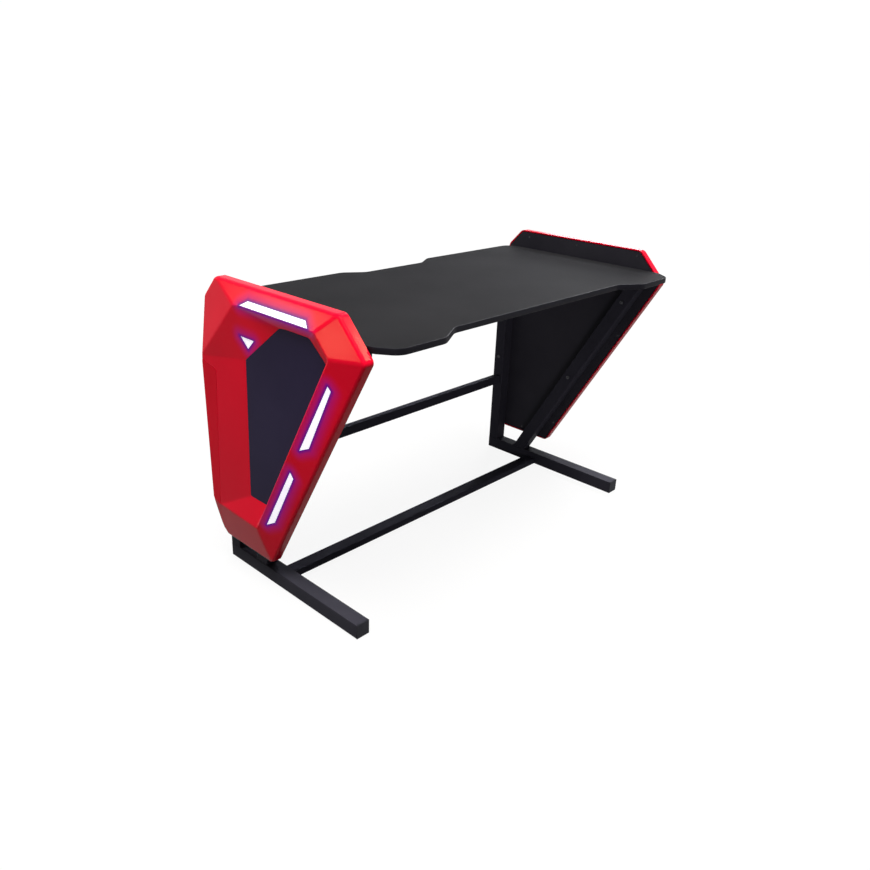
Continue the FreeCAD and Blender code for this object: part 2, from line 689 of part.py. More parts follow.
def make_panels():
    """Both side panels, built on the right and mirrored to the left."""
    out = Vector(1, 0, 0)
    frames = light_frames()
    overrun = size("cut_overrun")
    wall = size("cover_wall")
    solids = {}

    block = outer_block()
    hollow = hollow_block()
    cover = block.cut(slab(cover_corners()[2], out * -size("inlay_thickness"))).cut(hollow)
    board_top = size("board_thickness")
    for share in COVER_SCREW_SHARES:
        post = bar(panel_point(share, board_top), out, size("panel_thickness"), size("boss"))
        cover = cover.fuse(post.common(hollow))
    for share in COVER_SCREW_SHARES:
        pilot = size("cover_screw_length") - board_top + overrun
        cover = cover.cut(bar(panel_point(share, board_top), out, pilot, size("cover_screw + bolt_gap / 2")))
    for label, (corners, normal) in frames.items():
        cover = cover.cut(facet_prism(corners, normal, size("light_gap"), -overrun, wall + overrun))
    cover = cover.cut(trim_solid(0))
    inlet_place = panel_point((INLET_SHARE, 0), (board_top + size("rim_thickness") - wall) / 2)
    up = Vector(0, 0, 1)
    cover = cover.cut(bar(inlet_place - up * overrun, up, wall + 2 * overrun, size("inlet_body + bolt_gap")))
    solids["cover"] = cover.removeSplitter()

    seat = grown(outline_at(INLAY_SHARES, size("inlay_level - inlay_thickness")), -size("inlay_gap"))
    solids["inlay"] = slab(seat, out * size("inlay_thickness"))
    solids["rear_trim"] = trim_solid(size("trim_gap")).common(block)

    boards = []
    for label, (corners, normal) in frames.items():
        solids[label] = facet_prism(corners, normal, 0, size("light_recess"), size("light_depth"))
        boards.append(facet_prism(corners, normal, -size("led_margin"), size("light_depth"),
                                  size("light_depth + led_board")))
    solids["led_boards"] = Part.makeCompound(boards)

    inset = size("cover_wall + board_gap")
    board = slab(rounded(grown(outline_at(RIM_SHARES, 0), -inset), inset), out * board_top)
    screws, bolts, inserts = [], [], []
    for share in COVER_SCREW_SHARES:
        place = panel_point(share, 0)
        screws.append(countersunk(place, 0))
        board = board.cut(countersunk(place, size("bolt_gap")))
    for tube in ("post_tube", "diagonal_tube"):
        for along, level in panel_bolt_centres(tube):
            face = Vector(size(FRAME_OUT), size(along), size(level))
            seat = face - out * size("tube")
            depth = size("panel_insert_depth")
            insert = bar(face, out, depth, size("panel_insert"))
            board = board.cut(insert)
            inserts.append(insert.cut(bar(face, out, depth, size("panel_bolt + bolt_gap / 2"))))
            bolts.append(fastener(seat, out, "panel_bolt", "tube + panel_insert_depth - cut_overrun",
                                  "panel_bolt_head", "panel_bolt_head_height"))
    solids["panel_board"] = board
    solids["cover_screws"] = Part.makeCompound(screws)
    solids["panel_bolts"] = Part.makeCompound(bolts)
    solids["panel_inserts"] = Part.makeCompound(inserts)

    middle = panel_point(CONTROLLER_SHARES, board_top)
    corner = middle - Vector(0, size("controller_width / 2"), size("controller_length / 2"))
    box = Part.makeBox(size("controller_height"), size("controller_width"), size("controller_length"), corner)
    solids["led_controller"] = box
    solids["power_inlet"] = inlet_solid(inlet_place)

    for label, shape in solids.items():
        new_solid(f"right_{label}", shape)
        new_solid(f"left_{label}", shape.mirror(Vector(0, 0, 0), out))


def countersunk(place, gap):
    """A flat-headed screw flush with the board's inner face, or its hole when given a gap."""
    out = Vector(1, 0, 0)
    shank, head = size("cover_screw") + gap, size("cover_screw_head") + gap
    cone = bar(place, out, size("cover_screw_head_height"), head, shank)
    return cone.fuse(bar(place, out, size("cover_screw_length"), shank)).removeSplitter()


def inlet_solid(place):
    """A round power inlet through the skirt's bottom wall, with its flange outside."""
    up = Vector(0, 0, 1)
    body = bar(place, up, size("inlet_length"), size("inlet_body"))
    flange = bar(place, -up, size("inlet_flange_height"), size("inlet_flange"))
    mouth = place - up * size("inlet_flange_height")
    return body.fuse(flange).removeSplitter().cut(bar(mouth, up, size("inlet_length"), size("inlet_bore")))


make_worktop()
for side_name, side_sign in SIDES.items():
    make_side_frame(side_name, side_sign)
make_rails()
make_glides()
make_end_caps()
make_worktop_screws()
make_panels()

doc.recompute()
for item in doc.Objects:
    if {"Invalid", "Error"} & set(item.State):
        raise RuntimeError(f"{item.Label} failed: {item.State}")
for part in subparts:
    if part.Shape.isNull() or not part.Shape.isValid():
        raise RuntimeError(f"{part.Label} has no valid shape")

os.makedirs("parts", exist_ok=True)
for part in subparts:
    part.Shape.exportStep(f"parts/{part.Label}.step")
print(len(subparts), "sub-parts written")
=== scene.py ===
import math

import bmesh
import bpy
from mathutils import Matrix, Vector


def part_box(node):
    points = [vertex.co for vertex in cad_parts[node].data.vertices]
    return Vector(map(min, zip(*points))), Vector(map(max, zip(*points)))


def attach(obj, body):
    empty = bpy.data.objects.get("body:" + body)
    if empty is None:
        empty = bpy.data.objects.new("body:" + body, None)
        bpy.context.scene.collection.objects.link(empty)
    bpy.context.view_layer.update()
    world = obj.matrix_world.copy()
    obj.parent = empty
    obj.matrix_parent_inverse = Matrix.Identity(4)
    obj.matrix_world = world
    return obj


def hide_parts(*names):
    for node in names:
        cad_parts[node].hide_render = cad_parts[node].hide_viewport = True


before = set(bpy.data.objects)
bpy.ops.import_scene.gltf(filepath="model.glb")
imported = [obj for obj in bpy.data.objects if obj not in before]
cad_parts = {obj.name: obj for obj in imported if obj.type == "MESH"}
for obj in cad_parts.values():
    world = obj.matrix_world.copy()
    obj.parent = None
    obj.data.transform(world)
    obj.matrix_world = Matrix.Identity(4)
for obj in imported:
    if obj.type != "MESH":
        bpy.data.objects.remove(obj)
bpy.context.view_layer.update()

# Side frames: on each side a foot, an upright post, a slanting strut and a rail under the worktop.
# They are cut from square steel tube with rolled corners, welded with small rippled beads
# and powder coated black, which leaves a faint orange peel.
SIDES = {"left": -1, "right": 1}
TUBE_CORNER = 0.0025
STRUT_DEPTH = 0.046
BEAD_RADIUS, BEAD_RIPPLE, BEAD_PITCH = 0.0030, 0.0007, 0.0024
BEAD_SIDES, RINGS_PER_RIPPLE = 10, 6
BEAD_TIP_SHARE, BEAD_TIP_GROWTH = 0.35, 12
NOISE_LOW, NOISE_HIGH, NOISE_DETAIL = 0.3, 0.7, 3
ROUNDING_SEGMENTS, LEAST_ROUNDED_ANGLE = 3, math.radians(35)
WELD_DISTANCE = 1e-5


def cloud(tree, scale):
    """Noise over the piece's own place, so that it travels with the piece."""
    place = tree.nodes.new("ShaderNodeTexCoord")
    noise = tree.nodes.new("ShaderNodeTexNoise")
    noise.inputs["Scale"].default_value = scale
    noise.inputs["Detail"].default_value = NOISE_DETAIL
    tree.links.new(place.outputs["Object"], noise.inputs["Vector"])
    return noise.outputs["Fac"]


def ranged(tree, value, low, high, start=NOISE_LOW, end=NOISE_HIGH):
    """A value between two ends, noise unless others are given, spread over a range."""
    spread = tree.nodes.new("ShaderNodeMapRange")
    spread.inputs["From Min"].default_value = start
    spread.inputs["From Max"].default_value = end
    spread.inputs["To Min"].default_value = low
    spread.inputs["To Max"].default_value = high
    tree.links.new(value, spread.inputs["Value"])
    return spread.outputs["Result"]


def new_finish(name, dark, light, smooth, rough, patch, grain, depth, **sockets):
    """A finish whose colour and gloss drift over patches, with a fine relief of its own grain."""
    finish = bpy.data.materials.new(name)
    finish.use_nodes = True
    tree = finish.node_tree
    shader = tree.nodes["Principled BSDF"]
    for socket, value in sockets.items():
        shader.inputs[socket.replace("_", " ")].default_value = value
    drift = cloud(tree, patch)
    tint = tree.nodes.new("ShaderNodeValToRGB")
    tint.color_ramp.elements[0].position = NOISE_LOW
    tint.color_ramp.elements[1].position = NOISE_HIGH
    tint.color_ramp.elements[0].color = dark
    tint.color_ramp.elements[1].color = light
    tree.links.new(drift, tint.inputs["Fac"])
    tree.links.new(tint.outputs["Color"], shader.inputs["Base Color"])
    relief_noise = cloud(tree, grain)
    tree.links.new(ranged(tree, relief_noise, smooth, rough), shader.inputs["Roughness"])
    relief = tree.nodes.new("ShaderNodeBump")
    relief.inputs["Distance"].default_value = depth
    tree.links.new(relief_noise, relief.inputs["Height"])
    tree.links.new(relief.outputs["Normal"], shader.inputs["Normal"])
    return finish


def dress(piece, finish):
    """Gives every slot of a CAD piece one finish."""
    for slot in piece.material_slots:
        slot.material = finish


def soften(node, radius, finish):
    """Rounds the edges of a CAD piece and gives it its finish."""
    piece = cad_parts[node]
    weld = piece.modifiers.new("joined", "WELD")
    weld.merge_threshold = WELD_DISTANCE
    rounding = piece.modifiers.new("rounding", "BEVEL")
    rounding.width = radius
    rounding.segments = ROUNDING_SEGMENTS
    rounding.limit_method = "ANGLE"
    rounding.angle_limit = LEAST_ROUNDED_ANGLE
    rounding.harden_normals = True
    dress(piece, finish)


def new_piece(name, points, faces, side, finishes):
    """A mesh piece, mirrored to the left where it belongs there."""
    mesh = bpy.data.meshes.new(name)
    mesh.from_pydata([(point[0] * side, point[1], point[2]) for point in points], [], faces)
    shape = bmesh.new()
    shape.from_mesh(mesh)
    bmesh.ops.recalc_face_normals(shape, faces=shape.faces)
    shape.to_mesh(mesh)
    shape.free()
    for finish in finishes:
        mesh.materials.append(finish)
    piece = bpy.data.objects.new(name, mesh)
    bpy.context.scene.collection.objects.link(piece)
    return piece


def skinned(rings, joined=False):
    """Points and faces of a skin over rings of as many points each, closed by end faces or joined end to end."""
    count = len(rings[0])
    points = [point for ring in rings for point in ring]
    faces = [] if joined else [tuple(range(count)), tuple(range(len(points) - count, len(points)))]
    for start in range(0, len(points) - (0 if joined else count), count):
        above = (start + count) % len(points)
        for step in range(count):
            following = (step + 1) % count
            faces.append((start + step, start + following, above + following, above + step))
    return points, faces


def gathered(skins):
    """Several skins put together as one mesh."""
    points, faces = [], []
    for skin_points, skin_faces in skins:
        faces += [tuple(len(points) + corner for corner in face) for face in skin_faces]
        points += skin_points
    return points, faces


def weld_bead(start, end):
    """A rippled bead along a straight joint across the tube, thin at its two ends."""
    length = (end - start).length
    count = int(length / BEAD_PITCH) * RINGS_PER_RIPPLE
    rings = []
    for step in range(count + 1):
        run = step / count
        ripple = BEAD_RIPPLE * abs(math.sin(math.pi * run * length / BEAD_PITCH))
        radius = (BEAD_RADIUS - ripple) * min(1, BEAD_TIP_SHARE + BEAD_TIP_GROWTH * min(run, 1 - run))
        turns = [2 * math.pi * corner / BEAD_SIDES for corner in range(BEAD_SIDES)]
        middle = start.lerp(end, run)
        rings.append([middle + Vector((0, math.cos(turn), math.sin(turn))) * radius for turn in turns])
    return skinned(rings)


powder_coat = new_finish("black_powder_coat", (0.030, 0.029, 0.039, 1), (0.039, 0.038, 0.050, 1),
                         smooth=0.46, rough=0.60, patch=9, grain=700, depth=0.00006, Specular_IOR_Level=0.025)
post_low, post_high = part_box("right_post_tube")
strut_low, strut_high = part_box("right_diagonal_tube")
joints = [(post_low.y, post_low.z), (post_low.y, post_high.z), (strut_high.y, strut_low.z),
          (strut_high.y - STRUT_DEPTH, strut_low.z), (strut_low.y + STRUT_DEPTH, strut_high.z)]
beads = [weld_bead(Vector((post_low.x + TUBE_CORNER, y, z)), Vector((post_high.x - TUBE_CORNER, y, z)))
         for y, z in joints]
for side, sign in SIDES.items():
    for tube in ("foot_tube", "post_tube", "diagonal_tube", "top_rail"):
        soften(f"{side}_{tube}", TUBE_CORNER, powder_coat)
    welds = new_piece(f"{side}_weld_beads", *gathered(beads), sign, [powder_coat])
    welds.data.shade_smooth()
    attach(welds, "desk")

# Stretchers and cross rails: two low rails between the side frames and two under the worktop.
# Rectangular steel tube in the same black coat, pushed over stubs that are welded to the frames.
RAIL_CORNER = 0.002
# Painted light: the rails' copy of the black coat is a little lighter than the frames', standing in for light where
# they sit in shade under the worktop.
rail_coat_painted_lighter = new_finish("black_rail_coat", (0.032, 0.031, 0.043, 1), (0.042, 0.041, 0.056, 1),
                       smooth=0.46, rough=0.60, patch=9, grain=700, depth=0.00006, Specular_IOR_Level=0.015)
for rail in ("floor_stretcher", "rear_stretcher", "front_cross_rail", "rear_cross_rail"):
    soften(rail, RAIL_CORNER, rail_coat_painted_lighter)
bare_steel = new_finish("bright_steel", (0.30, 0.30, 0.31, 1), (0.46, 0.46, 0.47, 1),
                        smooth=0.28, rough=0.46, patch=60, grain=900, depth=0.00003, Metallic=1.0)
dress(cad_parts["rail_stubs"], bare_steel)

# Tube end caps: black nylon lids pressed into the open ends of the feet and of the top rails.
# Moulded with a slightly rounded face, and a little duller than the coat round them.
CAP_CORNER = 0.0012
cap_nylon = new_finish("black_nylon", (0.020, 0.020, 0.026, 1), (0.028, 0.028, 0.035, 1),
                       smooth=0.45, rough=0.60, patch=30, grain=1200, depth=0.00004, Specular_IOR_Level=0.06)
for cap in ("foot_end_caps", "top_rail_end_caps"):
    soften(cap, CAP_CORNER, cap_nylon)

# Levelling glides: four nylon discs moulded onto threaded stems, screwed into nuts in the feet.
# They are the only pieces that move, and carry the desk three millimetres off the floor.
ROUND_STEPS = 24
TURNS = [2 * math.pi * step / ROUND_STEPS for step in range(ROUND_STEPS)]
DISC_PROFILE = ((0.0128, 0), (0.0134, 0.0004), (0.0147, 0.0024), (0.0147, 0.0028), (0.0143, 0.0030), (0.0046, 0.0030))
DISC_TOP = DISC_PROFILE[-1][1]
STEM_RADIUS, STEM_TOP, THREAD_PITCH, THREAD_DEPTH = 0.0040, 0.021, 0.00125, 0.0006
THREAD_RINGS = 80
SOFT_ANGLE = math.radians(40)
UPWARD = Vector((0, 0, 1))


def ring(radius, along):
    """A round ring of points; the radius may change with the turn."""
    reach = radius if callable(radius) else lambda turn: radius
    return [(reach(turn) * math.cos(turn), reach(turn) * math.sin(turn), along) for turn in TURNS]


def thread_ring(along):
    """A ring of the stem whose radius follows the climbing thread."""
    def reach(turn):
        climb = (along / THREAD_PITCH - turn / (2 * math.pi)) % 1
        return STEM_RADIUS - THREAD_DEPTH * (1 - abs(2 * climb - 1))
    return ring(reach, along)


def stood(rings, place, axis):
    """Rings set at a place, with their length along an axis."""
    across = axis.orthogonal().normalized()
    upward = axis.cross(across)
    return [[place + across * u + upward * v + axis * w for u, v, w in points] for points in rings]


def shade(piece, least_sharp):
    """Shades a piece smooth, but for edges that turn by more than an angle."""
    piece.data.shade_smooth()
    piece.data.set_sharp_from_angle(angle=least_sharp)


glide_rings = [ring(radius, along) for radius, along in DISC_PROFILE]
for step in range(THREAD_RINGS + 1):
    glide_rings.append(thread_ring(DISC_TOP + (STEM_TOP - DISC_TOP) * step / THREAD_RINGS))
for corner in ("front_left", "front_right", "rear_left", "rear_right"):
    low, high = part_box(f"{corner}_glide")
    foot = Vector(((low.x + high.x) / 2, (low.y + high.y) / 2, 0))
    glide = new_piece(f"{corner}_levelling_glide", *skinned(stood(glide_rings, foot, UPWARD)), 1,
                      [cap_nylon, bare_steel])
    for face in glide.data.polygons:
        face.material_index = 1 if face.center.z > DISC_TOP else 0
    shade(glide, SOFT_ANGLE)
    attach(glide, f"{corner}_glide")
    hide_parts(f"{corner}_glide")
dress(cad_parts["glide_nuts"], bare_steel)

# Worktop: a fibreboard panel under charcoal film with a fine leather grain, and a black edge band.
# The band is glued round the cut outline and rounded over; screws hold the board from the rails below.
BOARD_CORNER = 0.0003
BAND_THICKNESS, BAND_ROUNDING, BAND_STEPS = 0.002, 0.0016, 5


def facet_normal(points):
    """The normal of a flat outline."""
    total = Vector()
    for point, following in zip(points, points[1:] + points[:1]):
        total += (point - points[0]).cross(following - points[0])
    return total.normalized()


def side_normals(points):
    """The outward normals of a flat outline's sides, in its own plane."""
    normal = facet_normal(points)
    return [(following - point).normalized().cross(normal)
            for point, following in zip(points, points[1:] + points[:1])]


def grown(points, distance):
    """A flat outline with every side moved outward."""
    sides = side_normals(points)
    return [point + (before + after) * (distance / (1 + before.dot(after)))
            for point, before, after in zip(points, sides[-1:] + sides[:-1], sides)]


def top_outline(node):
    """The outline of a board's top face, point after point."""
    shape = bmesh.new()
    shape.from_mesh(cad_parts[node].data)
    bmesh.ops.remove_doubles(shape, verts=shape.verts, dist=WELD_DISTANCE)
    top = max(corner.co.z for corner in shape.verts)
    faces = [face for face in shape.faces if all(top - corner.co.z < WELD_DISTANCE for corner in face.verts)]
    following = {}
    for face in faces:
        for side in face.loops:
            if sum(neighbour in faces for neighbour in side.edge.link_faces) == 1:
                following[side.vert] = side.link_loop_next.vert
    walked = [next(iter(following))]
    while following[walked[-1]] != walked[0]:
        walked.append(following[walked[-1]])
    outline = [corner.co.copy() for corner in walked]
    shape.free()
    return outline


film = new_finish("charcoal_film", (0.0135, 0.0135, 0.0149, 1), (0.0172, 0.0172, 0.0188, 1),
                  smooth=0.58, rough=0.70, patch=4, grain=1500, depth=0.00005, Specular_IOR_Level=0.006)
band_plastic = new_finish("black_edge_band", (0.0080, 0.0077, 0.0108, 1), (0.0112, 0.0108, 0.0150, 1),
                          smooth=0.36, rough=0.48, patch=20, grain=900, depth=0.00003, Specular_IOR_Level=0.04)
soften("desktop", BOARD_CORNER, film)
board_low, board_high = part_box("desktop")
quarter = [math.pi / 2 * step / BAND_STEPS for step in range(BAND_STEPS + 1)]
rounded_over = [(BAND_THICKNESS - BAND_ROUNDING * (1 - math.cos(turn)), BAND_ROUNDING * (1 - math.sin(turn)))
                for turn in quarter]
profile = [(0, board_low.z), *((out, board_low.z + rise) for out, rise in reversed(rounded_over)),
           *((out, board_high.z - fall) for out, fall in rounded_over), (0, board_high.z)]
board_outline = top_outline("desktop")
band_rings = [[Vector((point.x, point.y, level)) for point in grown(board_outline, out)] for out, level in profile]
band = new_piece("rounded_edge_band", *skinned(band_rings, joined=True), 1, [band_plastic])
shade(band, SOFT_ANGLE)
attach(band, "desk")
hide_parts("desktop_edge_band")
dress(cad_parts["desktop_screws"], bare_steel)

# Panel boards: black faced boards that close the inner side of each panel, with steel inserts.
# Button-headed bolts through the post and the strut hold them, and eight countersunk
# cross-recess screws hold the cover on; both are black oxide steel.
PANEL_FACE, PANEL_BACK, PANEL_GROUND = 0.585, 0.313, 0.090
PANEL_DEPTH, PANEL_HEIGHT = 0.589, 0.720
SCREW_PLACES = ((0.14, 0.972), (0.4652, 0.974), (0.838, 0.974), (0.787, 0.6143), (0.4311, 0.1042), (0.2, 0.024),
                (0.0265, 0.3), (0.0265, 0.68))
BOLT_PLACES = ((0.293, 0.36144), (0.293, 0.6516), (-0.0071, 0.36144), (-0.17211, 0.6516))
TUBE_INSIDE = 0.545
PANEL_BOARD_CORNER = 0.0008
CROSS_FLOOR, CROSS_MOUTH, CROSS_DEPTH = (0.0009, 0.0003), (0.0021, 0.0006), 0.0012
SCREW_PROFILE = ((0.0033, 0), (0.0035, 0.00015), (0.00175, 0.002), (0.00175, 0.024), (0.0004, 0.026))
HEX_APOTHEM, HEX_FLOOR, HEX_MOUTH = 0.0020, -0.0013, -0.0034
BOLT_PROFILE = ((0.0036, -0.0035), (0.0050, -0.0030), (0.0057, -0.0020), (0.0060, -0.0008), (0.0060, 0), (0.0030, 0),
                (0.0030, 0.048), (0.0024, 0.049))
LEAST_SINE = 1e-6
CRISP_ANGLE = math.radians(32)
OUTWARD = Vector((1, 0, 0))


def on_panel(share, level):
    """A point of the right panel from its depth and height shares and its distance from the inner face."""
    return Vector((PANEL_FACE + level, PANEL_BACK - PANEL_DEPTH * share[0], PANEL_GROUND + PANEL_HEIGHT * share[1]))


def cross_recess(arm, half_width):
    """The reach of a four-armed recess at a turn."""
    def reach(turn):
        off = (turn + math.pi / 4) % (math.pi / 2) - math.pi / 4
        return min(arm / math.cos(off), half_width / max(abs(math.sin(off)), LEAST_SINE))
    return reach


def hex_recess(apothem):
    """The reach of a six-sided recess at a turn."""
    def reach(turn):
        return apothem / math.cos((turn + math.pi / 6) % (math.pi / 3) - math.pi / 6)
    return reach


screw_rings = [ring(cross_recess(*CROSS_FLOOR), CROSS_DEPTH), ring(cross_recess(*CROSS_MOUTH), 0),
               *(ring(radius, along) for radius, along in SCREW_PROFILE)]
bolt_rings = [ring(hex_recess(HEX_APOTHEM), HEX_FLOOR), ring(hex_recess(HEX_APOTHEM), HEX_MOUTH),
              *(ring(radius, along) for radius, along in BOLT_PROFILE)]
screws = [skinned(stood(screw_rings, on_panel(share, 0), OUTWARD)) for share in SCREW_PLACES]
bolts = [skinned(stood(bolt_rings, Vector((TUBE_INSIDE, y, z)), OUTWARD)) for y, z in BOLT_PLACES]
board_face = new_finish("black_board", (0.0260, 0.0245, 0.0320, 1), (0.0340, 0.0325, 0.0410, 1),
                        smooth=0.46, rough=0.60, patch=7, grain=1100, depth=0.00006, Specular_IOR_Level=0.05)
black_oxide = new_finish("black_oxide", (0.030, 0.030, 0.034, 1), (0.060, 0.060, 0.066, 1),
                         smooth=0.30, rough=0.44, patch=200, grain=1500, depth=0.00002, Metallic=0.8)
for side, sign in SIDES.items():
    soften(f"{side}_panel_board", PANEL_BOARD_CORNER, board_face)
    dress(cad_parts[f"{side}_panel_inserts"], bare_steel)
    for name, skins, node in (("countersunk_screws", screws, "cover_screws"), ("button_bolts", bolts, "panel_bolts")):
        fasteners = new_piece(f"{side}_{name}", *gathered(skins), sign, [black_oxide])
        shade(fasteners, CRISP_ANGLE)
        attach(fasteners, "desk")
        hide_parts(f"{side}_{node}")

# Moulded covers: a faceted shell of glossy red ABS on the outer side of each panel.
# Skirt, bevels, ridge, sunk slopes and one wide back slope are one injection moulding with soft edges,
# with windows for the lights and a rebate for the strip along the back edge.
RIM_LEVEL, RIDGE_LEVEL, INLAY_LEVEL, SEAT_LEVEL = 0.025, 0.046, 0.032, 0.030
COVER_WALL, SKIRT_WALL = 0.003, 0.006
INLET_HOLE, INLET_HOLE_DEPTH = 0.0047, 0.012
CUT_OVERRUN, BACK_OVERRUN = 0.001, 0.002
RIM = ((0.0866, 1), (0.8574, 1), (1, 0.8792), (0.3888, 0), (0.034, 0), (0, 0.035), (0, 0.9259))
RIDGE = ((0.2598, 0.9347), (0.7623, 0.9347), (0.8409, 0.8681), (0.333, 0.1375), (0.0468, 0.1411), (0, 0.155),
         (0, 0.717))
INLAY = ((0.534, 0.905), (0.7086, 0.905), (0.8023, 0.8423), (0.3953, 0.241), (0.27, 0.241), (0.2947, 0.7533))
RIM_COUNT, INLAY_COUNT = len(RIM), len(INLAY)
TRIM = ((0, 0.704), (0.0925, 0.6838), (0.0468, 0.1411), (0, 0.155))
TRIM_THICKNESS, TRIM_LIP, TRIM_RETURN, TRIM_CHAMFER = 0.0015, 0.003, 0.034, 0.0007
REBATE_CUT = 0.004
LIGHTS = {
    "top": ((0.3017, 0.9395), (0.3482, 0.9596), (0.7042, 0.9596), (0.7268, 0.9395)),
    "front_upper": ((0.8243, 0.7831), (0.8368, 0.7676), (0.6949, 0.5431), (0.6441, 0.5242)),
    "front_lower": ((0.58, 0.4306), (0.5919, 0.4067), (0.4486, 0.1938), (0.3983, 0.171)),
    "triangle": ((0.2822, 0.8346), (0.3649, 0.8307), (0.3217, 0.7953)),
}
WINDOW_GAP, WINDOW_CUT_START, WINDOW_CUT = 0.00015, 0.004, 0.012
SKIRT_ROUNDING, RIM_ROUNDING, BEVEL_ROUNDING = 0.0095, 0.0065, 0.006
RIDGE_ROUNDING, SLOPE_ROUNDING, SEAT_ROUNDING = 0.0035, 0.004, 0.0006
BACK_ROUNDINGS = {"rim5 ridge5": 0.003, "rim6 ridge6": 0.004, "rim4 ridge5": 0.003, "ridge0 ridge6": 0.004,
                  "ridge4 ridge5": 0.003, "ridge5 ridge6": 0.0025, "ridge6 edge5": 0.003, "ridge0 ridge1": 0.003}
LARGEST_ROUNDING, SOFT_SEGMENTS = 0.010, 5
SLIVER = 1e-6


def outer_normal(points):
    """The normal of a flat outline on the side away from the board."""
    normal = facet_normal(points)
    return normal if normal.x > 0 else -normal


def dropped(point, plane):
    """The point moved straight out or in until it lies on a plane of three points."""
    normal = (plane[1] - plane[0]).cross(plane[2] - plane[0])
    lift = normal.yz.dot((point - plane[0]).yz) / normal.x
    return Vector((plane[0].x - lift, point.y, point.z))


def settled(piece):
    """Fixes the modifiers into the mesh."""
    bpy.context.view_layer.update()
    graph = bpy.context.evaluated_depsgraph_get()
    mesh = bpy.data.meshes.new_from_object(piece.evaluated_get(graph))
    piece.modifiers.clear()
    piece.data = mesh


def prism(outline, travel):
    """Points and faces of an outline swept straight along."""
    return skinned([list(outline), [point + travel for point in outline]])


def cut_out(piece, points, faces, side):
    """Takes a solid out of a piece."""
    tool = new_piece("cutter", points, faces, side, [])
    cut = piece.modifiers.new("cut", "BOOLEAN")
    cut.operation = "DIFFERENCE"
    cut.solver = "EXACT"
    cut.object = tool
    settled(piece)
    bpy.data.objects.remove(tool)


rim = [on_panel(share, RIM_LEVEL) for share in RIM]
ridge = [on_panel(share, RIDGE_LEVEL) for share in RIDGE]
inlay_edge = [on_panel(share, INLAY_LEVEL) for share in INLAY]
back_slope = (ridge[6], inlay_edge[4], inlay_edge[5])
ridge[4] = dropped(ridge[4], back_slope)
ridge[5] = dropped(ridge[5], back_slope)
front_bevel = (rim[2], rim[3], ridge[2])
facets = {"top": (rim[0], rim[1], ridge[0]), "front_upper": front_bevel, "front_lower": front_bevel,
          "triangle": (ridge[0], inlay_edge[0], inlay_edge[5])}
windows = {light: [dropped(on_panel(share, 0), facets[light]) for share in shares]
           for light, shares in LIGHTS.items()}
window_normals = {light: outer_normal(corners) for light, corners in windows.items()}

COVER_DARK = (0.78, 0.0025, 0.0250, 1)
COVER_LIGHT = (0.86, 0.0035, 0.0300, 1)
MOULDING_GLOSS = {"Specular_IOR_Level": 0.036, "Specular_Tint": (1.0, 0.95, 0.50, 1)}
# Painted light: a violet halo round each light window, mixed into the red's base colour and given off as emission.
GLOW_EDGE, GLOW_REACH = 0.009, 0.034
EDGE_FADE, WIDE_FADE = 1.1, 1.6
EDGE_HALO_PAINT, WIDE_HALO_PAINT = (0.030, 0.001, 0.050, 1), (0.34, 0.003, 0.095, 1)
EDGE_GLOW, WIDE_GLOW = (0.075, 0.001, 0.190, 1), (0.105, 0.004, 0.120, 1)
red_abs = new_finish("red_gloss_moulding", COVER_DARK, COVER_LIGHT,
                     smooth=0.17, rough=0.25, patch=5, grain=400, depth=0.00002, **MOULDING_GLOSS)


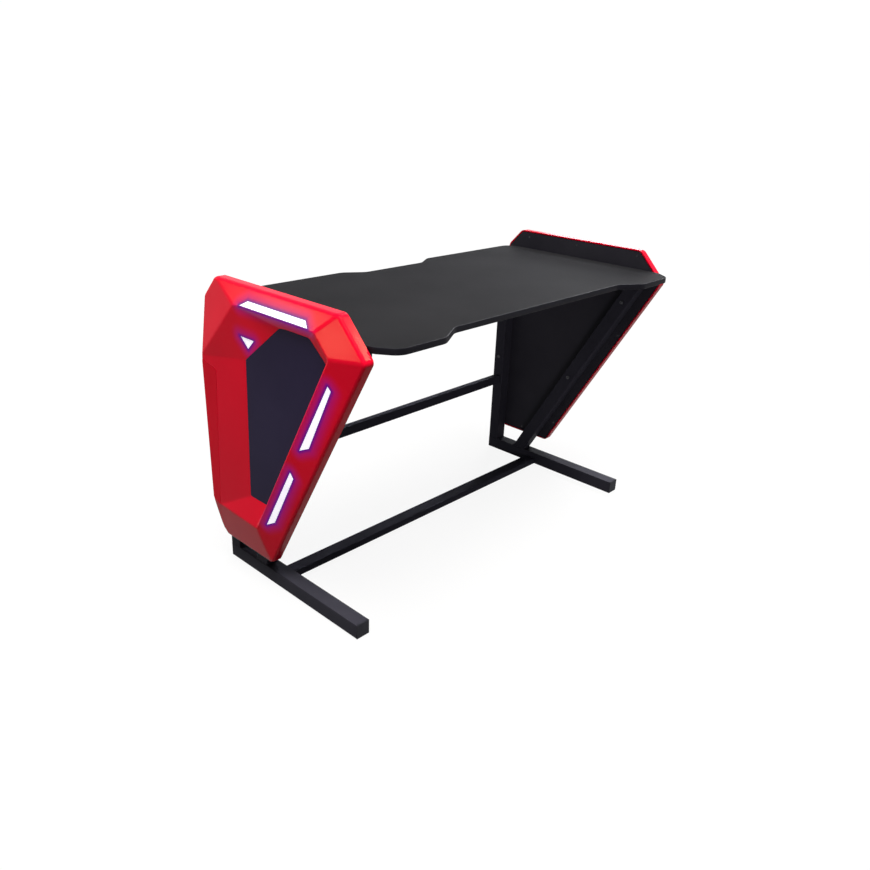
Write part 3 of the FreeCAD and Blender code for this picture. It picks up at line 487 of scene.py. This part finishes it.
def add_glow(finish):
    """Painted light: the violet halo that the lights throw into the plastic round their windows, painted into its
    base colour and emission.
    """
    tree = finish.node_tree
    shader = tree.nodes["Principled BSDF"]

    def calc(operation, first, second=None):
        """A sum of one or two values."""
        node = tree.nodes.new("ShaderNodeMath")
        node.operation = operation
        for socket, value in zip(node.inputs, (first, second)):
            if isinstance(value, (int, float)):
                socket.default_value = value
            elif value is not None:
                tree.links.new(value, socket)
        return node.outputs["Value"]

    def measured(operation, *values):
        """A sum of vectors."""
        node = tree.nodes.new("ShaderNodeVectorMath")
        node.operation = operation
        for socket, value in zip(node.inputs, values):
            if isinstance(value, Vector):
                socket.default_value = value
            else:
                tree.links.new(value, socket)
        return node.outputs

    def away_from(start, end):
        """How far a spot on the cover is from one side of a window."""
        run, length = (end - start).normalized(), (end - start).length
        step = measured("DOT_PRODUCT", right_side.outputs["Vector"], run)["Value"]
        step = ranged(tree, step, 0.0, length, start.dot(run), start.dot(run) + length)
        foot = measured("MULTIPLY_ADD", run, step, start)["Vector"]
        return measured("DISTANCE", right_side.outputs["Vector"], foot)["Value"]

    def mixed(share, first, second):
        """The first colour, and a share of the second."""
        blend = tree.nodes.new("ShaderNodeMix")
        blend.data_type = "RGBA"
        tree.links.new(share, blend.inputs["Factor"])
        for socket, value in ((blend.inputs[6], first), (blend.inputs[7], second)):
            if isinstance(value, tuple):
                socket.default_value = value
            else:
                tree.links.new(value, socket)
        return blend.outputs[2]

    place = tree.nodes.new("ShaderNodeTexCoord")
    parts = tree.nodes.new("ShaderNodeSeparateXYZ")
    tree.links.new(place.outputs["Object"], parts.inputs["Vector"])
    right_side = tree.nodes.new("ShaderNodeCombineXYZ")
    tree.links.new(calc("ABSOLUTE", parts.outputs["X"]), right_side.inputs["X"])
    tree.links.new(parts.outputs["Y"], right_side.inputs["Y"])
    tree.links.new(parts.outputs["Z"], right_side.inputs["Z"])
    nearest = GLOW_REACH
    for corners in windows.values():
        for start, end in zip(corners, corners[1:] + corners[:1]):
            nearest = calc("MINIMUM", nearest, away_from(start, end))
    edge_share = calc("POWER", ranged(tree, nearest, 1.0, 0.0, 0.0, GLOW_EDGE), EDGE_FADE)
    wide_share = calc("POWER", ranged(tree, nearest, 1.0, 0.0, 0.0, GLOW_REACH), WIDE_FADE)
    base = shader.inputs["Base Color"].links[0].from_socket
    base = mixed(edge_share, mixed(wide_share, base, WIDE_HALO_PAINT), EDGE_HALO_PAINT)
    tree.links.new(base, shader.inputs["Base Color"])
    tree.links.new(mixed(edge_share, WIDE_GLOW, EDGE_GLOW), shader.inputs["Emission Color"])
    tree.links.new(calc("MAXIMUM", edge_share, wide_share), shader.inputs["Emission Strength"])


add_glow(red_abs)


def cover_skin():
    """Points, names, faces and edge roundings of the cover's outer form; the last face closes it on the board."""
    skin = {}
    for index in range(RIM_COUNT):
        skin[f"foot{index}"] = on_panel(RIM[index], 0)
        skin[f"rim{index}"] = rim[index]
        skin[f"ridge{index}"] = ridge[index]
    for index in range(INLAY_COUNT):
        skin[f"edge{index}"] = inlay_edge[index]
        skin[f"seat{index}"] = on_panel(INLAY[index], SEAT_LEVEL)
    names = list(skin)
    loops = [f"foot{i} foot{(i + 1) % RIM_COUNT} rim{(i + 1) % RIM_COUNT} rim{i}" for i in range(RIM_COUNT) if i != 5]
    loops += [f"rim{i} rim{i + 1} ridge{i + 1} ridge{i}" for i in range(4)]
    loops += [f"ridge{i} ridge{i + 1} edge{i + 1} edge{i}" for i in range(4)]
    loops += [f"edge{i} edge{(i + 1) % INLAY_COUNT} seat{(i + 1) % INLAY_COUNT} seat{i}" for i in range(INLAY_COUNT)]
    loops += ["foot5 foot6 rim6 ridge6 ridge5 rim5", "rim4 rim5 ridge5", "rim4 ridge5 ridge4",
              "rim6 rim0 ridge0 ridge6", "ridge4 ridge5 ridge6 edge5 edge4", "ridge6 ridge0 edge0 edge5",
              "seat0 seat1 seat2 seat3 seat4 seat5", "foot0 foot1 foot2 foot3 foot4 foot5 foot6"]
    faces = [tuple(names.index(name) for name in loop.split()) for loop in loops]
    roundings = dict(BACK_ROUNDINGS)
    for index in range(RIM_COUNT):
        roundings[f"foot{index} rim{index}"] = SKIRT_ROUNDING
        if index != 5:
            roundings[f"rim{index} rim{(index + 1) % RIM_COUNT}"] = RIM_ROUNDING
    for index in range(5):
        roundings[f"rim{index} ridge{index}"] = BEVEL_ROUNDING
        roundings[f"ridge{index} edge{index}"] = SLOPE_ROUNDING
    for index in range(1, 4):
        roundings[f"ridge{index} ridge{index + 1}"] = RIDGE_ROUNDING
    for index in range(INLAY_COUNT):
        roundings[f"edge{index} edge{(index + 1) % INLAY_COUNT}"] = SEAT_ROUNDING
    return list(skin.values()), names, faces, roundings


def hollow(points, names, faces):
    """The room inside the cover: a wall behind every facet, thicker where the skirt is rounded, open to the board."""
    shape = bmesh.new()
    corners = [shape.verts.new(point) for point in points]
    for face in faces[:-1]:
        shape.faces.new([corners[index] for index in face])
    bmesh.ops.recalc_face_normals(shape, faces=shape.faces)
    shape.normal_update()
    outward = 1 if corners[faces[-2][0]].normal.x > 0 else -1
    inner = []
    for corner, name in zip(corners, names):
        wall = SKIRT_WALL if name.startswith(("foot", "rim")) else COVER_WALL
        inner.append(corner.co - corner.normal * (outward * wall * corner.calc_shell_factor()))
    for corner, place in zip(corners, inner):
        corner.co = place
    for index in faces[-1]:
        corners[index].co.x -= CUT_OVERRUN
    shape.faces.new([corners[index] for index in faces[-1]])
    bmesh.ops.triangulate(shape, faces=shape.faces)
    shape.verts.index_update()
    room = ([corner.co.copy() for corner in shape.verts],
            [tuple(corner.index for corner in face.verts) for face in shape.faces])
    shape.free()
    return room


inlet_low, inlet_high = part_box("right_power_inlet")
inlet_seat = Vector(((inlet_low.x + inlet_high.x) / 2, (inlet_low.y + inlet_high.y) / 2, PANEL_GROUND))
inlet_hole = stood([ring(INLET_HOLE, -CUT_OVERRUN), ring(INLET_HOLE, INLET_HOLE_DEPTH)], inlet_seat, UPWARD)

lip = Vector((0, 0, TRIM_LIP))
rebate = [on_panel(share, 0) for share in TRIM]
rebate = [rebate[0] - lip, rebate[1] - lip, rebate[2] + lip, rebate[3] + lip]
for point in (rebate[0], rebate[3]):
    point.y += CUT_OVERRUN
rebate = [dropped(point, back_slope) for point in rebate]
slope_normal = outer_normal(list(back_slope))
rebate_floor = [point - slope_normal * TRIM_THICKNESS for point in rebate]
mouth = [point + slope_normal * TRIM_CHAMFER for point in grown(rebate, 2 * TRIM_CHAMFER)]
mouth_floor = [point - slope_normal * TRIM_CHAMFER for point in rebate]
fold_start = PANEL_FACE + RIDGE_LEVEL - TRIM_RETURN
fold_front, fold_back = PANEL_BACK - TRIM_THICKNESS, PANEL_BACK + BACK_OVERRUN
fold_low, fold_high = rebate[3].z, rebate[0].z
back_fold = [Vector((fold_start, y, z)) for y, z in ((fold_front, fold_low), (fold_back, fold_low),
                                                     (fold_back, fold_high), (fold_front, fold_high))]

points, names, faces, roundings = cover_skin()
cuts = [hollow(points, names, faces), skinned(inlet_hole)]
for light, corners in windows.items():
    normal = window_normals[light]
    opening = [point + normal * WINDOW_CUT_START for point in grown(corners, WINDOW_GAP)]
    cuts.append(prism(opening, normal * -WINDOW_CUT))
cuts += [prism(rebate_floor, slope_normal * REBATE_CUT), skinned([mouth, mouth_floor]),
         prism(back_fold, Vector((TRIM_RETURN + BACK_OVERRUN, 0, 0)))]
for side, sign in SIDES.items():
    cover = new_piece(f"{side}_moulded_cover", points, faces, sign, [red_abs])
    weights = cover.data.attributes.new("bevel_weight_edge", "FLOAT", "EDGE")
    for edge in cover.data.edges:
        first, second = (names[index] for index in edge.vertices)
        rounding = roundings.get(f"{first} {second}", roundings.get(f"{second} {first}", 0))
        weights.data[edge.index].value = rounding / LARGEST_ROUNDING
    soft_edges = cover.modifiers.new("soft_edges", "BEVEL")
    soft_edges.width = LARGEST_ROUNDING
    soft_edges.segments = SOFT_SEGMENTS
    soft_edges.limit_method = "WEIGHT"
    soft_edges.use_clamp_overlap = False
    soft_edges.loop_slide = False
    settled(cover)
    for cut in cuts:
        cut_out(cover, *cut, sign)
    shape = bmesh.new()
    shape.from_mesh(cover.data)
    bmesh.ops.remove_doubles(shape, verts=shape.verts, dist=WELD_DISTANCE)
    bmesh.ops.dissolve_degenerate(shape, edges=shape.edges, dist=SLIVER)
    shape.to_mesh(cover.data)
    shape.free()
    shade(cover, CRISP_ANGLE)
    even_facets = cover.modifiers.new("even_facets", "WEIGHTED_NORMAL")
    even_facets.keep_sharp = True
    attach(cover, "desk")
    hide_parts(f"{side}_cover")

# Back strips: a thin red moulding clipped into the rebate along the back edge of each cover.
# It folds round onto the back, in the same red plastic, with a fine gap all round.
STRIP_CORNER = 0.0007
# Painted shade: the strip's red is a little darker than the cover's, though it is the same plastic, for the way it
# faces.
strip_red_painted_darker = new_finish("red_back_strip", (0.72, 0.0025, 0.0210, 1), (0.80, 0.0035, 0.0250, 1),
                       smooth=0.27, rough=0.36, patch=8, grain=400, depth=0.00003, **MOULDING_GLOSS)
for side in SIDES:
    soften(f"{side}_rear_trim", STRIP_CORNER, strip_red_painted_darker)

# Inlays: dark plates with a bluish gloss, set into the seat at the bottom of each cover's slopes.
# Cut from thick acrylic and glued, flush with the edge of the seat.
INLAY_CORNER = 0.0004
inlay_gloss = new_finish("dark_inlay", (0.0190, 0.0145, 0.0430, 1), (0.0240, 0.0190, 0.0520, 1),
                         smooth=0.30, rough=0.42, patch=6, grain=900, depth=0.00002, Specular_IOR_Level=0.025)
for side in SIDES:
    soften(f"{side}_inlay", INLAY_CORNER, inlay_gloss)

# Lights: opal diffusers in the cover's windows, with a violet edge where the board behind shines past.
# Each is a moulded block with a raised face; small boards of lamps stand behind them on the inner side.
LENS_RECESS, BORDER_RECESS, LENS_DEPTH, LENS_BORDER = 0.0001, 0.0004, 0.007, 0.0006


def glowing(name, inner, outer, strength):
    """Opal plastic lit from behind, a little uneven."""
    finish = new_finish(name, inner, outer, smooth=0.25, rough=0.40, patch=40, grain=800, depth=0.00002,
                        Emission_Strength=strength)
    tree = finish.node_tree
    colour = tree.nodes["Principled BSDF"].inputs["Base Color"].links[0].from_socket
    tree.links.new(colour, tree.nodes["Principled BSDF"].inputs["Emission Color"])
    return finish


opal_white = glowing("opal_light", (0.85, 0.82, 0.94, 1), (0.94, 0.92, 0.99, 1), strength=0.60)
violet_edge = glowing("violet_light_edge", (0.10, 0.006, 0.28, 1), (0.14, 0.010, 0.34, 1), strength=0.50)
for side, sign in SIDES.items():
    for light, corners in windows.items():
        normal = window_normals[light]
        core = [point - normal * LENS_RECESS for point in grown(corners, -LENS_BORDER)]
        border = [point - normal * BORDER_RECESS for point in corners]
        back = [point - normal * LENS_DEPTH for point in corners]
        lens = new_piece(f"{side}_{light}_lens", *skinned([core, border, back]), sign, [opal_white, violet_edge])
        for face in lens.data.polygons[1:]:
            face.material_index = 1
        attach(lens, "desk")
        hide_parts(f"{side}_{light}_light")
lamp_board = new_finish("lamp_board", (0.02, 0.10, 0.04, 1), (0.03, 0.14, 0.06, 1),
                        smooth=0.30, rough=0.45, patch=90, grain=700, depth=0.00003)
housing = new_finish("controller_housing", (0.012, 0.012, 0.014, 1), (0.020, 0.020, 0.022, 1),
                     smooth=0.40, rough=0.55, patch=40, grain=900, depth=0.00005)
for side in SIDES:
    dress(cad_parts[f"{side}_led_boards"], lamp_board)
    dress(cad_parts[f"{side}_led_controller"], housing)

# Power inlets: a round socket through the bottom of each skirt, moulded black with a flange and a centre pin.
# It snaps in from below and feeds the light controller inside the panel.
INLET_PROFILE = ((0.0011, -0.0005), (0.0011, 0.0095), (0.00275, 0.0100), (0.00275, -0.0012), (0.0032, -0.0015),
                 (0.0056, -0.0015), (0.0060, -0.0011), (0.0060, 0), (0.0045, 0), (0.0045, 0.0157), (0.0042, 0.016))
inlet_rings = stood([ring(radius, along) for radius, along in INLET_PROFILE], inlet_seat, UPWARD)
for side, sign in SIDES.items():
    inlet = new_piece(f"{side}_round_inlet", *skinned(inlet_rings), sign, [housing])
    shade(inlet, CRISP_ANGLE)
    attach(inlet, "desk")
    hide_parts(f"{side}_power_inlet")

# Studio: a white floor that runs out to a white surround, and soft lamps overhead and at the sides.
# The floor shows white to the camera and to gloss, and keeps the desk's soft shadow.
FLOOR_HALF = 60
FLOOR_GREY, FLOOR_ROUGHNESS, FLOOR_SEEN = (0.06, 0.06, 0.06, 1), 0.9, 0.91
SURROUND_COLOUR, SURROUND_LIGHT, SURROUND_SEEN = (0.96, 0.97, 1.0, 1), 0.06, 1.05
WARM_LIGHT = (1.0, 0.90, 0.70)


def seen_white(tree):
    """One where a ray comes from the camera, a gloss or a clear piece, else nought."""
    path = tree.nodes.new("ShaderNodeLightPath")
    first = tree.nodes.new("ShaderNodeMath")
    first.operation = "MAXIMUM"
    tree.links.new(path.outputs["Is Camera Ray"], first.inputs[0])
    tree.links.new(path.outputs["Is Glossy Ray"], first.inputs[1])
    second = tree.nodes.new("ShaderNodeMath")
    second.operation = "MAXIMUM"
    tree.links.new(first.outputs["Value"], second.inputs[0])
    tree.links.new(path.outputs["Is Transmission Ray"], second.inputs[1])
    return second.outputs["Value"]


floor_mesh = bpy.data.meshes.new("studio_floor")
floor_mesh.from_pydata([(-FLOOR_HALF, -FLOOR_HALF, 0), (FLOOR_HALF, -FLOOR_HALF, 0), (FLOOR_HALF, FLOOR_HALF, 0),
                        (-FLOOR_HALF, FLOOR_HALF, 0)], [], [(0, 1, 2, 3)])
floor = bpy.data.objects.new("studio_floor", floor_mesh)
bpy.context.scene.collection.objects.link(floor)
white_floor = bpy.data.materials.new("white_floor")
white_floor.use_nodes = True
floor_tree = white_floor.node_tree
floor_shader = floor_tree.nodes["Principled BSDF"]
floor_shader.inputs["Base Color"].default_value = FLOOR_GREY
floor_shader.inputs["Roughness"].default_value = FLOOR_ROUGHNESS
floor_shader.inputs["Specular IOR Level"].default_value = 0.0
floor_shader.inputs["Emission Color"].default_value = (1, 1, 1, 1)
floor_share = floor_tree.nodes.new("ShaderNodeMath")
floor_share.operation = "MULTIPLY"
floor_share.inputs[1].default_value = FLOOR_SEEN
floor_tree.links.new(seen_white(floor_tree), floor_share.inputs[0])
floor_tree.links.new(floor_share.outputs["Value"], floor_shader.inputs["Emission Strength"])
floor_mesh.materials.append(white_floor)

surround = bpy.data.worlds.new("studio_surround")
bpy.context.scene.world = surround
surround.use_nodes = True
sky = surround.node_tree.nodes["Background"]
sky.inputs["Color"].default_value = SURROUND_COLOUR
sky_share = surround.node_tree.nodes.new("ShaderNodeMapRange")
sky_share.inputs["To Min"].default_value = SURROUND_LIGHT
sky_share.inputs["To Max"].default_value = SURROUND_SEEN
surround.node_tree.links.new(seen_white(surround.node_tree), sky_share.inputs["Value"])
surround.node_tree.links.new(sky_share.outputs["Result"], sky.inputs["Strength"])


def lamp(name, kind, place, aim, power, colour, **settings):
    """A lamp at a place, turned towards what it lights."""
    light = bpy.data.lights.new(name, kind)
    light.energy = power
    light.color = colour
    for setting, value in settings.items():
        setattr(light, setting, value)
    holder = bpy.data.objects.new(name, light)
    holder.location = place
    holder.rotation_euler = (Vector(aim) - Vector(place)).to_track_quat("-Z", "Y").to_euler()
    bpy.context.scene.collection.objects.link(holder)


lamp("overhead_softbox", "SUN", place=(-0.54, -0.66, 2.88), aim=(0, 0, 0), power=5.5, colour=(1.0, 0.98, 0.95),
     angle=math.radians(32))
lamp("left_back_softbox", "AREA", place=(-2.45, 2.35, 1.6), aim=(-0.62, -0.05, 0.79), power=0.27, colour=WARM_LIGHT,
     shape="RECTANGLE", size=0.5, size_y=0.3, spread=math.radians(26))
lamp("left_softbox", "AREA", place=(-3.3, 1.05, 0.80), aim=(-0.62, -0.2, 0.76), power=0.36, colour=WARM_LIGHT,
     shape="RECTANGLE", size=0.32, size_y=0.32, spread=math.radians(26))
lamp("front_softbox", "AREA", place=(1.3, -1.25, 2.84), aim=(-0.6, -0.26, 0.74), power=0.62,
     colour=(1.0, 0.92, 0.78), shape="RECTANGLE", size=0.2, size_y=0.2, spread=math.radians(30))
lamp("under_desk_softbox", "AREA", place=(-2.2, -2.6, 0.5), aim=(0.58, 0.05, 0.42), power=0.95,
     colour=(1.0, 0.96, 1.0), shape="RECTANGLE", size=1.0, size_y=0.8, spread=math.radians(28))
lamp("right_softbox", "AREA", place=(2.2, 0.9, 3.0), aim=(0.45, -0.05, 0.75), power=4.7, colour=(0.97, 0.98, 1.0),
     size=1.0, spread=math.radians(36))
lamp("right_back_softbox", "AREA", place=(4.2, 1.8, 2.2), aim=(0.3, 0, 0.75), power=60, colour=(0.96, 0.98, 1.0),
     size=1.6)

# Camera: where the photograph was taken from, ahead of the desk's left end and above the worktop.
CAMERA_PLACE = (-1.63162, -1.41224, 1.23675)
CAMERA_YAW, CAMERA_PITCH, CAMERA_ROLL = (math.radians(angle) for angle in (-47.3805, -23.431, 2.280))
FOCAL_PIXELS, PICTURE_PIXELS, SENSOR = 798.1, 870, 36.0
photo_lens = bpy.data.cameras.new("photo_camera")
photo_lens.sensor_width = SENSOR
photo_lens.lens = FOCAL_PIXELS / PICTURE_PIXELS * SENSOR
ahead = Vector((math.sin(-CAMERA_YAW) * math.cos(CAMERA_PITCH), math.cos(CAMERA_YAW) * math.cos(CAMERA_PITCH),
                math.sin(CAMERA_PITCH)))
level_right = ahead.cross(Vector((0, 0, 1))).normalized()
level_up = level_right.cross(ahead)
right = level_right * math.cos(CAMERA_ROLL) + level_up * math.sin(CAMERA_ROLL)
up = level_up * math.cos(CAMERA_ROLL) - level_right * math.sin(CAMERA_ROLL)
camera = bpy.data.objects.new("photo_camera", photo_lens)
camera.matrix_world = Matrix((right, up, -ahead)).transposed().to_4x4()
camera.location = CAMERA_PLACE
bpy.context.scene.collection.objects.link(camera)
bpy.context.scene.camera = camera
bpy.context.scene.view_settings.view_transform = "Standard"
